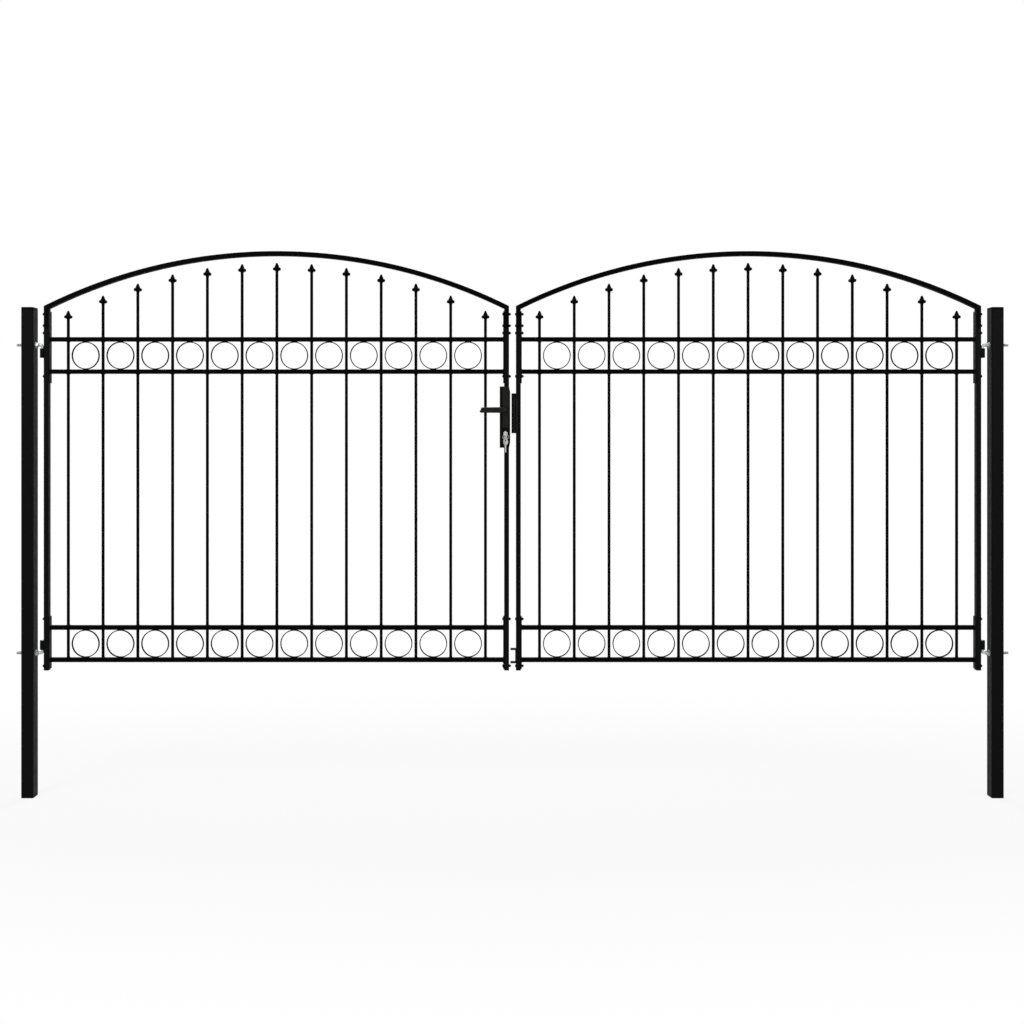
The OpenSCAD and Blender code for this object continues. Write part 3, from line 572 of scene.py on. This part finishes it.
ring_low, ring_high = span("left_upper_rings")
ORNAMENTS = stamp_set(
    "ornament",
    [ring_shape((ring_high.z - ring_low.z) / 2, RING_BAR, ring_high.y - ring_low.y), finial_shape()],
)
O_RING, O_FINIAL = range(2)
for side, leaf in LEAF.items():
    xs = leaf["picket_x"]
    for row in ("_upper_rings", "_lower_rings"):
        low, high = span(side + row)
        middle_z = (low.z + high.z) / 2
        spots = [(O_RING, ((a + b) / 2, 0, middle_z), (0, a, 0), ONE) for a, b in zip(xs, xs[1:])]
        mesh = stamped(side + row + "_bar", ORNAMENTS, spots, BAR)
        put(side + row + "_bar", mesh, BAR, leaf["body"], "black_paint", side + row)
    low, high = span(side + "_finials")
    half, rise = (xs[-1] - xs[0]) / 2, high.z - low.z - FINIAL_H
    sweep = (half * half + rise * rise) / (2 * rise)
    spots = []
    for x in xs:
        tip = high.z - sweep + math.sqrt(sweep * sweep - (x - xs[0] - half) ** 2)
        spots.append((O_FINIAL, (x, 0, tip - FINIAL_H), (0, 0, x), ONE))
    mesh = stamped(side + "_spears", ORNAMENTS, spots, BAR)
    put(side + "_spears", mesh, BAR, leaf["body"], "black_paint", side + "_finials")


# Top bows


def bow_stations(low, high):
    """Pairs of outer and inner points of an arched tube with mitred legs, from foot to foot."""
    middle, half, rise = (low.x + high.x) / 2, (high.x - low.x) / 2, high.z - CORNER_Z
    outer = (half * half + rise * rise) / (2 * rise)
    inner, centre_z = outer - BOW_THICK, high.z - outer
    ends = ((outer, math.acos(half / outer)), (inner, math.acos((half - BOW_WIDE) / inner)))
    pairs = [((middle + half, low.z), (middle + half - BOW_WIDE, low.z))]
    steps = 96
    for k in range(steps + 1):
        pair = []
        for r, end in ends:
            a = end + (math.pi - 2 * end) * k / steps
            pair.append((middle + r * math.cos(a), centre_z + r * math.sin(a)))
        pairs.append(pair)
    pairs.append(((middle - half, low.z), (middle - half + BOW_WIDE, low.z)))
    return pairs


for side, leaf in LEAF.items():
    low, high = span(side + "_top_bow")
    pairs = bow_stations(low, high)
    leaf["mitres"] = (pairs[1], pairs[-2])
    loop = rounded(BOW_THICK, high.y - low.y, BOW_EDGE, 5)
    section = [(a / BOW_THICK + 0.5, y) for a, y in loop]
    rings = []
    for o, i in pairs:
        rings.append([(o[0] + (i[0] - o[0]) * u, y, o[1] + (i[1] - o[1]) * u) for u, y in section])
    mesh = Shape().loft(rings).mesh(side + "_bow")
    put(side + "_bow", mesh, BAR, leaf["body"], "black_paint", side + "_top_bow")


# Weld beads


def bead_ring(path, r, ripple, waves):
    """A rippled bead along a closed path of (point, outward normal) pairs lying on a plane across X."""
    rings = []
    for i, ((y, z), (ny, nz)) in enumerate(path):
        size = r * (1 + ripple * math.cos(TURN * waves * i / len(path)))
        rings.append([(size * a, y + ny * size * b, z + nz * size * b) for a, b in disc(1.0, 8)])
    return rings


def round_path(r, n):
    """Points round a circle with their outward normals."""
    return [((r * c, r * s), (c, s)) for c, s in disc(1.0, n)]


def square_path(w, r, n, step):
    """Points round a square with round corners, about a step apart, with their outward normals."""
    corners = rounded(w, w, r, n)
    path = []
    for i, p in enumerate(corners):
        q = corners[(i + 1) % len(corners)]
        length = math.dist(p, q)
        if length < 1e-6:
            continue
        normal = ((q[1] - p[1]) / length, (p[0] - q[0]) / length)
        count = max(1, round(length / step))
        for k in range(count):
            t = k / count
            path.append(((p[0] + (q[0] - p[0]) * t, p[1] + (q[1] - p[1]) * t), normal))
    return path


def bead_bar(length, width, height, ripple, pitch, n=10):
    """A straight rippled bead along X with drawn-out ends."""
    rings = []
    steps = max(12, round(length / pitch * 6))
    for i in range(steps + 1):
        x = length * (i / steps - 0.5)
        end = math.sqrt(max(0.0, 1 - abs(2 * x / length) ** 5)) * 0.97 + 0.03
        wave = 1 + ripple * math.cos(TURN * x / pitch)
        rings.append(along_x(oval(width / 2 * end * wave, height / 2 * end * wave, 2.2, n), x))
    return rings


def to_z(rings):
    """The same loops with X turned to Z."""
    return [[(p[1], p[2], p[0]) for p in ring] for ring in rings]


picket_r = LEAF["left"]["picket_r"]
WELDS = stamp_set(
    "weld",
    [
        Shape().loft(to_z(bead_ring(round_path(picket_r + 0.6, 44), 2.3, 0.1, 11)), closed=True),
        Shape().loft(bead_bar(24.0, 9.4, 3.6, 0.06, 3.2)),
        Shape().loft(bead_ring(square_path(RAIL + 0.8, 2.4, 5, 0.9), 1.6, 0.1, 24), closed=True),
        Shape().loft(bead_bar(34.0, 5.2, 4.6, 0.07, 2.4)),
        Shape().loft(bead_bar(21.0, 4.2, 1.1, 0.08, 2.0)),
    ],
)
W_PICKET, W_RING, W_RAIL, W_LONG, W_MITRE = range(5)


def leaf_welds(side):
    """The beads of one leaf: pickets, rings, rails, knuckles, bow corners, lock or keeper."""
    leaf, spots = LEAF[side], []
    for x in leaf["picket_x"]:
        for z in leaf["rail_z"]:
            faces = (1,) if z == leaf["rail_z"][3] else (1, -1)
            for face in faces:
                grown = ONE if face * (z - CORNER_Z / 2) < 0 else (0.86, 0.86, 0.6)
                spots.append((W_PICKET, (x, 0, z + face * RAIL / 2), (0, 0, x), grown))
    for high_rail, low_rail in (leaf["rail_z"][:2], leaf["rail_z"][2:]):
        for a, b in zip(leaf["picket_x"], leaf["picket_x"][1:]):
            middle = (a + b) / 2
            spots.append((W_RING, (middle, 0, high_rail - RAIL / 2 - 1.2), FLAT, ONE))
            spots.append((W_RING, (middle, 0, low_rail + RAIL / 2 + 1.2), FLAT, ONE))
    for x in leaf["rail_x"]:
        for z in leaf["rail_z"]:
            spots.append((W_RAIL, (x, 0, z), FLAT, ONE))
    upright = (0, math.pi / 2, 0)
    low, high = span(side + "_knuckles")
    face_x, inward = (high.x, -1) if side == "left" else (low.x, 1)
    for z in (low.z + KNUCKLE_H / 2, high.z - KNUCKLE_H / 2):
        for front in (-1, 1):
            spots.append((W_LONG, (face_x + inward, front * 5.2, z), upright, (1.0, 0.9, 0.9)))
    low, high = span(side + "_top_bow")
    for o, i in leaf["mitres"]:
        lean = math.atan((o[1] - i[1]) / (i[0] - o[0]))
        for y in (low.y, high.y):
            place = ((o[0] + i[0]) / 2, y, (o[1] + i[1]) / 2)
            spots.append((W_MITRE, place, (0, lean, 0), (1.0, 0.25, 3.6)))
    if side == "right":
        low, high = span("latch_keeper")
        for z in (low.z + 22, (low.z + high.z) / 2, high.z - 22):
            for y in (low.y + 1.2, high.y - 1.2):
                spots.append((W_LONG, (high.x + 0.6, y, z), upright, (0.72, 0.6, 0.6)))
        low, high = span("drop_rod_bracket")
        for y in (low.y - 0.4, high.y + 0.4):
            spots.append((W_LONG, (high.x - 0.8, y, (low.z + high.z) / 2), upright, (1.3, 0.6, 0.6)))
    else:
        low, high = span("lock_box")
        for z in (low.z, high.z):
            for y in (-11.6, 11.6):
                spots.append((W_LONG, (high.x - 10.0, y, z), FLAT, (0.5, 0.7, 0.7)))
    mesh = stamped(side + "_welds", WELDS, spots, BEAD, 0.07, 11 if side == "left" else 23)
    put(side + "_welds", mesh, BEAD, leaf["body"], "black_paint")


for side in LEAF:
    leaf_welds(side)


# Bolts, nuts and hooks


def thread_rings(r, depth, pitch, x0, x1, n=28, steps=7):
    """Loops of a screw thread along X, with its helix in the radius."""
    rings = []
    count = max(2, round((x1 - x0) / pitch * steps))
    for k in range(count + 1):
        x = x0 + (x1 - x0) * k / count
        fade = min(1.0, (x - x0) / pitch + 0.15, (x1 - x) / pitch + 0.15)
        ring = []
        for i in range(n):
            place = (x / pitch - i / n) % 1.0
            cut = depth * fade * max(0.0, min(1.0, 1.35 - 3.2 * abs(place - 0.5)))
            a = TURN * i / n
            ring.append((x, (r - cut) * math.cos(a), (r - cut) * math.sin(a)))
        rings.append(ring)
    return rings


def hex_loop(af, limit, n=48):
    """A hexagon whose corners are turned down to a largest radius."""
    loop = []
    for i in range(n):
        a = TURN * i / n
        flat = (a % (math.pi / 3)) - math.pi / 6
        r = min(af / 2 / math.cos(flat), limit)
        loop.append((r * math.cos(a), r * math.sin(a)))
    return loop


def nut_rings(af, h, bore, x0):
    """Closed loops of a hexagon nut with turned corners and a countersunk bore, along X."""
    slope = 1 / math.tan(math.radians(30))
    steps = [0.0, 0.03, 0.06, 0.1]
    outer = [(s * h, af / 2 * 0.97 + s * h * slope) for s in steps]
    outer += [(h - t, limit) for t, limit in reversed(outer)]
    rings = [along_x(hex_loop(af, limit), x0 + t) for t, limit in outer]
    sink = min(0.9, h * 0.12)
    for x, r in ((h, bore + sink), (h - sink, bore), (sink, bore), (0.0, bore + sink)):
        rings.append(along_x(disc(r, 48), x0 + x))
    return rings


def frame_bolt(head):
    """A bolt along X: domed head of this height at the origin, nut and thread end past the splice."""
    head_r, shank_r, thread_x, end_x = 6.5, 3.0, SPLICE - 1.0, SPLICE + 8.4
    shape = Shape()
    dome = []
    for k in range(8):
        a = math.pi / 2 * k / 8
        dome.append((head_r * math.sin(a), -head * math.cos(a)))
    dome += [(head_r, -0.2), (head_r - 0.2, 0.0), (shank_r, 0.05), (shank_r, thread_x)]
    shape.lathe(dome, 32, Matrix.Rotation(math.pi / 2, 4, "Y"))
    shape.loft(nut_rings(11.0, 5.6, 2.75, SPLICE + 0.05), closed=True)
    rings = [along_x(disc(2.4, 28), thread_x - 0.1)]
    rings += thread_rings(2.98, 0.42, 1.0, thread_x, end_x - 0.5)
    shape.loft(rings + [along_x(disc(2.3, 28), end_x)])
    return shape


def screw():
    """A small countersunk screw with a hexagon socket, its head looking along -X."""
    socket = [along_x(hex_loop(2.6, 9.0), x) for x in (-0.35, 1.1)]
    rim = ((1.6, 1.6), (3.45, 0.4), (3.5, -0.05), (3.1, -0.3), (1.9, -0.42))
    return Shape().loft([along_x(disc(r, 48), x) for r, x in rim] + socket)


FIXINGS = stamp_set("fixing", [frame_bolt(4.0), frame_bolt(1.6), screw()])
F_BOLT, F_LOW, F_SCREW = range(3)

for side, leaf in LEAF.items():
    stiles = [side + "_hinge_stile", side + "_meeting_stile"]
    if side == "right":
        stiles.reverse()
    low, high = span(stiles[0])[0].x, span(stiles[1])[1].x
    spots = []
    for z in BOLT_Z:
        if side == "left":
            spots.append((F_LOW, (low + SPLICE, 0, z), (z, 0, math.pi), ONE))
            spots.append((F_BOLT, (high - SPLICE, 0, z), (z, 0, 0), ONE))
        else:
            spots.append((F_BOLT, (low, 0, z), (z, 0, 0), ONE))
            spots.append((F_LOW, (high - SPLICE, 0, z), (z, 0, 0), ONE))
    mesh = stamped(side + "_bolts", FIXINGS, spots, BOLT)
    put(side + "_bolts", mesh, BOLT, leaf["body"], "black_paint", side + "_frame_bolts")


def hook(shape, matrix, tail):
    """A hook bolt from its threaded end, through the post, round the bend and down its pin."""
    n, r, bend, pin = 28, HOOK_R, 10.0, 53.0
    rings = [along_x(disc(4.3, n), tail), along_x(disc(4.9, n), tail + 0.4)]
    rings += thread_rings(r, 0.95, 1.75, tail + 1.0, tail + 24.5, n)
    rings += [along_x(disc(r, n), x) for x in (tail + 26.0, -40.0)]
    rings += thread_rings(r, 0.95, 1.75, -36.0, -13.5, n)
    rings.append(along_x(disc(r, n), -bend))
    for k in range(1, 13):
        a = math.pi / 2 * k / 12
        c, s = math.cos(a), math.sin(a)
        rings.append([(-bend + (bend + q) * s, p, -bend + (bend + q) * c) for p, q in disc(r, n)])
    rings += [[(q, p, z) for p, q in disc(r, n)] for z in (-20.0, -pin + 1.6)]
    rings += [[(q * k, p * k, z) for p, q in disc(r, n)] for k, z in ((0.93, -pin + 0.9), (0.78, -pin))]
    shape.loft(rings, matrix)


for side in LEAF:
    low, high = span(side + "_hinge_hooks")
    facing = Matrix.Scale(1 if side == "left" else -1, 4, (1, 0, 0))
    axis_x = high.x - HOOK_R if side == "left" else low.x + HOOK_R
    shape = Shape()
    for z, way in zip(HOOK_Z, (1, -1)):
        place = Matrix.Translation((axis_x, 0, z)) @ facing @ Matrix.Scale(way, 4, (0, 0, 1))
        hook(shape, place, low.x - high.x + HOOK_R)
    put(side + "_hooks", shape.mesh(side + "_hooks"), ZINC, "root", "zinc", side + "_hinge_hooks")
    low, high = span(side + "_hinge_nuts")
    shape = Shape()
    for z, tilt in zip(HOOK_Z, (0.2, 0.7)):
        base = Matrix.Translation((low.x if side == "left" else high.x, 0, z)) @ facing
        washer = [(6.2, 0.0), (11.5, 0.0), (12.0, 0.45), (12.0, 2.0), (11.4, 2.5), (6.2, 2.5)]
        shape.lathe(washer, 48, base @ Matrix.Rotation(math.pi / 2, 4, "Y"), closed=True)
        shape.loft(nut_rings(19.0, 10.0, 6.1, 2.7), base @ Matrix.Rotation(tilt, 4, "X"), closed=True)
    put(side + "_nuts", shape.mesh(side + "_nuts"), ZINC, "root", "zinc", side + "_hinge_nuts")


# Post caps

for side in LEAF:
    low, high = span(side + "_post_cap")
    foot, x, post = high.z - CAP_H, (low.x + high.x) / 2, high.x - low.x
    shoulder, shoulder_z, crown, flat = 2.2, 8.6, 0.95, 23.0
    edge_z = CAP_H - crown
    levels = [(3.0, -14.0), (3.0, 0.0), (0.5, 0.0), (0.05, 0.5), (0.0, 1.2)]
    levels += arc(shoulder, shoulder_z, shoulder, edge_z - shoulder_z, 180, 90, 4)
    levels += arc(flat, edge_z, flat - shoulder, crown, 180, 90, 6)[1:]
    rings = []
    for inset, z in levels:
        w = post - 2 * inset
        rings.append(along_z(rounded(w, w, max(0.5, POST_CORNER - 0.15 * inset), 7), foot + z))
    shape = Shape().loft(rings, Matrix.Translation((x, 0, 0)))
    put(side + "_cap", shape.mesh(side + "_cap"), CAP, "root", "black_plastic", side + "_post_cap")


# Lever handles


def lever(front):
    """A lever drawn from its round neck through its bend to a crowned, slanted bar."""
    n, bend, reach, length = 40, 9.5, 52.0, 105.0
    rings = []

    def ring(centre, along, w, h, power, slant=0.0):
        """Adds a loop across the lever, with its top drawn back by a slant."""
        across = Vector((-along[1], along[0]))
        loop = []
        for a, b in oval(w / 2, h / 2, power, n):
            x = centre[0] + across[0] * a - along[0] * slant * (b / h + 0.5)
            y = centre[1] + across[1] * a
            loop.append((x, y, b))
        rings.append(loop)

    down = (0.0, -1.0)
    neck = [(-15.2, 17.2), (-15.9, 18.0), (-22.0, 18.0), (-22.6, 17.0), (-30.0, 16.2), (-38.0, 16.0)]
    for y, w in neck:
        ring((0.0, y), down, w, w, 2.0)
    steps = 10
    for k in range(steps + 1):
        a = math.pi / 2 * k / steps
        t = k / steps
        centre = (-bend + bend * math.cos(a), -(reach - bend) - bend * math.sin(a))
        along = (-math.sin(a), -math.cos(a))
        ring(centre, along, 16.0 - 2.0 * t, 16.0 + 5.6 * t, 2.0 + 1.2 * t)
    for k in range(1, 9):
        t = k / 8
        ring(
            (-bend - (length - bend - 2.6) * t, -reach + 1.2 * t * t),
            (-1.0, 0.0),
            14.0 - 1.6 * t,
            21.8 - 1.4 * t,
            3.0,
            7.0 * t * t,
        )
    tip = -length + 2.6
    for inset, out in ((0.5, 1.4), (1.5, 2.2), (3.2, 2.6)):
        ring((tip - out, -reach + 1.2), (-1.0, 0.0), 12.4 - 2 * inset, 20.4 - 2 * inset, 3.0, 7.0)
    flip = Matrix.Scale(1 if front else -1, 4, (0, 1, 0))
    return Shape().loft(rings, Matrix.Translation(AXIS) @ flip)


for face, front in (("front", True), ("rear", False)):
    name = face + "_lever"
    put(name + "_bar", lever(front).mesh(name + "_bar", 50), GRIP, "lever", "handle_black", name)


# Eased edges, lock and keeper


def edged(node_name, width, material, body, slot):
    """A CAD node with eased edges in place of the node itself."""
    put(node_name + "_edged", softened(node_name, width), material, body, slot, node_name)


edged("lock_box", 0.8, PAINT, "left_leaf", "black_paint")
edged("lock_faceplate", 0.6, PAINT, "left_leaf", "black_paint")
edged("lock_cylinder", 0.5, NICKEL, "left_leaf", "nickel")
edged("keys", 0.25, NICKEL, "left_leaf", "nickel")
edged("drop_rod_bracket", 0.8, PAINT, "right_leaf", "black_paint")
for side, leaf in LEAF.items():
    edged(side + "_end_plates", 0.7, PAINT, leaf["body"], "black_paint")
    edged(side + "_knuckles", 0.5, PAINT, leaf["body"], "black_paint")
    edged(side + "_stile_plugs", 0.6, CAP, leaf["body"], "black_plastic")

# The keeper, with two shallow ribs on each side, in the lighter bolt black as a painted highlight on the
# ribs

edged("latch_keeper", 0.8, PAINT, "right_leaf", "black_paint")
low, high = span("latch_keeper")
ribs = Shape()
for x, half in ((low.x + 11.0, 2.7), (low.x + 22.0, 3.8)):
    for y, out in ((low.y, -1), (high.y, 1)):
        rings = []
        top, foot = high.z - 24.0, low.z + 1.5
        for z, k in ((foot, 0.6), (foot + 1.0, 1.0), (top - 1.0, 1.0), (top, 0.6)):
            loop = oval(half * k, 1.5 * k, 2.6, 20)
            rings.append([(x + a, y + out * b, z) for a, b in loop])
        ribs.loft(rings)
put("keeper_ribs", ribs.mesh("keeper_ribs"), BOLT, "right_leaf", "black_paint")

# The latch and the deadbolt in the faceplate's windows

low, high = span("lock_faceplate")
thick = 13.6
bolts = Shape()
for rise, h, nose in ((190.0, 23.4, 1.6), (110.0, 35.4, 0.0)):
    rings = []
    for x, inset in ((low.x + 0.3, 0.3), (low.x + 3.2, 0.3), (low.x + 3.7, 0.8)):
        loop = rounded(thick - 2 * inset, h - 2 * inset, 1.0, 5)
        rings.append([(x - nose * (0.5 + a / thick), a, low.z + rise + b) for a, b in loop])
    bolts.loft(rings)
put("lock_bolts", bolts.mesh("lock_bolts"), NICKEL, "left_leaf", "nickel")

# The screws of the handle plates and the faceplate

spots = []
plate_low, plate_high = span("front_handle_plate")
rear_y = span("rear_handle_plate")[1].y
for z in (plate_low.z + 10.0, plate_high.z - 10.0):
    spots.append((F_SCREW, (AXIS.x, plate_low.y, z), (0, 0, math.pi / 2), ONE))
    spots.append((F_SCREW, (AXIS.x, rear_y, z), (0, 0, -math.pi / 2), ONE))
for z in (low.z + 32.0, high.z - 24.0):
    spots.append((F_SCREW, (high.x, 0, z), (0, 0, math.pi), ONE))
put("lock_screws", stamped("lock_screws", FIXINGS, spots, BOLT), BOLT, "left_leaf", "handle_black")

# A raised collar round each end of the cylinder's plug

plug = Shape()
low, high = span("lock_cylinder")
for y, out in ((low.y, -1), (high.y, 1)):
    place = Matrix.Translation((AXIS.x, y, CYLINDER_Z)) @ Matrix.Rotation(-out * math.pi / 2, 4, "X")
    collar = [(6.2, -0.3), (6.2, 0.35), (6.45, 0.5), (6.9, 0.5), (7.15, 0.35), (7.15, -0.3)]
    plug.lathe(collar, 48, place, True)
put("cylinder_collar", plug.mesh("cylinder_collar"), NICKEL, "left_leaf", "nickel")


# Floor, light and camera


def direct_rays(tree):
    """One for the rays that show the white background, and nought for those that light the gate."""
    path = node(tree, "ShaderNodeLightPath")
    seen = math_node(tree, "MAXIMUM", path.outputs["Is Camera Ray"], path.outputs["Is Glossy Ray"])
    return math_node(tree, "MAXIMUM", seen, path.outputs["Is Transmission Ray"])


floor_mat = bpy.data.materials.new("pale_floor")
floor_mat.use_nodes = True
tree = floor_mat.node_tree
tree.nodes.clear()
coords = node(tree, "ShaderNodeTexCoord").outputs["Object"]
near = stretched(tree, coords, (0.35, 1.0, 1.0))
away = node(tree, "ShaderNodeVectorMath", {0: near}, operation="LENGTH").outputs["Value"]
lit = ramp(tree, away, 0.6, 2.0, 0.88, 1.0)
seen = math_node(tree, "MULTIPLY", lit, direct_rays(tree))
matte = node(tree, "ShaderNodeBsdfDiffuse", {"Color": (0.9, 0.9, 0.9, 1.0)})
glow = node(tree, "ShaderNodeEmission", {"Color": (1.0, 1.0, 1.0, 1.0), "Strength": 1.0})
blend = node(tree, "ShaderNodeMixShader", {0: seen, 1: matte.outputs[0], 2: glow.outputs[0]})
node(tree, "ShaderNodeOutputMaterial", {"Surface": blend.outputs[0]})
reach = 40.0
floor_mesh = bpy.data.meshes.new("floor")
corners = [(-reach, -reach, 0), (reach, -reach, 0), (reach, reach, 0), (-reach, reach, 0)]
floor_mesh.from_pydata(corners, [], [(0, 1, 2, 3)])
floor_mesh.materials.append(floor_mat)
floor = new_object("floor", floor_mesh)
floor.location = (1.975, 0, -0.0004)

world = bpy.data.worlds.new("studio")
bpy.context.scene.world = world
world.use_nodes = True
tree = world.node_tree
tree.nodes.clear()
# Dimmer light from the camera's side than from behind the gate
ways = node(tree, "ShaderNodeSeparateXYZ", {0: node(tree, "ShaderNodeTexCoord").outputs["Generated"]})
level = ramp(tree, ways.outputs["Y"], -0.5, 0.6, 0.15, 0.42)
soft = node(tree, "ShaderNodeBackground", {"Color": (1.0, 1.0, 1.0, 1.0), "Strength": level})
white = node(tree, "ShaderNodeBackground", {"Color": (1.0, 1.0, 1.0, 1.0), "Strength": 1.0})
both = node(tree, "ShaderNodeMixShader", {0: direct_rays(tree), 1: soft.outputs[0], 2: white.outputs[0]})
node(tree, "ShaderNodeOutputWorld", {"Surface": both.outputs[0]})


def lamp(name, place, target, size, power):
    """A round lamp that looks at a target."""
    data = bpy.data.lights.new(name, "AREA")
    data.shape = "DISK"
    data.size = size
    data.energy = power
    obj = new_object(name, data)
    obj.location = place
    obj.rotation_euler = (Vector(target) - Vector(place)).to_track_quat("-Z", "Y").to_euler()


lamp("key", (-1.6, -4.2, 4.6), (1.9, 0, 1.2), 2.4, 120)
lamp("fill", (6.4, -3.4, 3.2), (2.0, 0, 1.2), 3.0, 60)
lamp("rim", (2.0, 4.0, 4.8), (2.0, 0, 1.2), 3.0, 110)

# The picture's width, the focal length and the horizon's row are in pixels
PICTURE, FOCUS, HORIZON = 1024.0, 1143.0, 435.0
SENSOR = 36.0
camera = bpy.data.cameras.new("camera")
camera.sensor_width = SENSOR
camera.lens = SENSOR * FOCUS / PICTURE
camera.shift_y = -(PICTURE / 2 - HORIZON) / PICTURE
camera.clip_end = 200.0
view = new_object("camera", camera)
view.location = (1.9731, -4.675, 1.478)
view.rotation_euler = (math.pi / 2, 0, 0)
bpy.context.scene.camera = view
bpy.context.scene.view_settings.view_transform = "Standard"
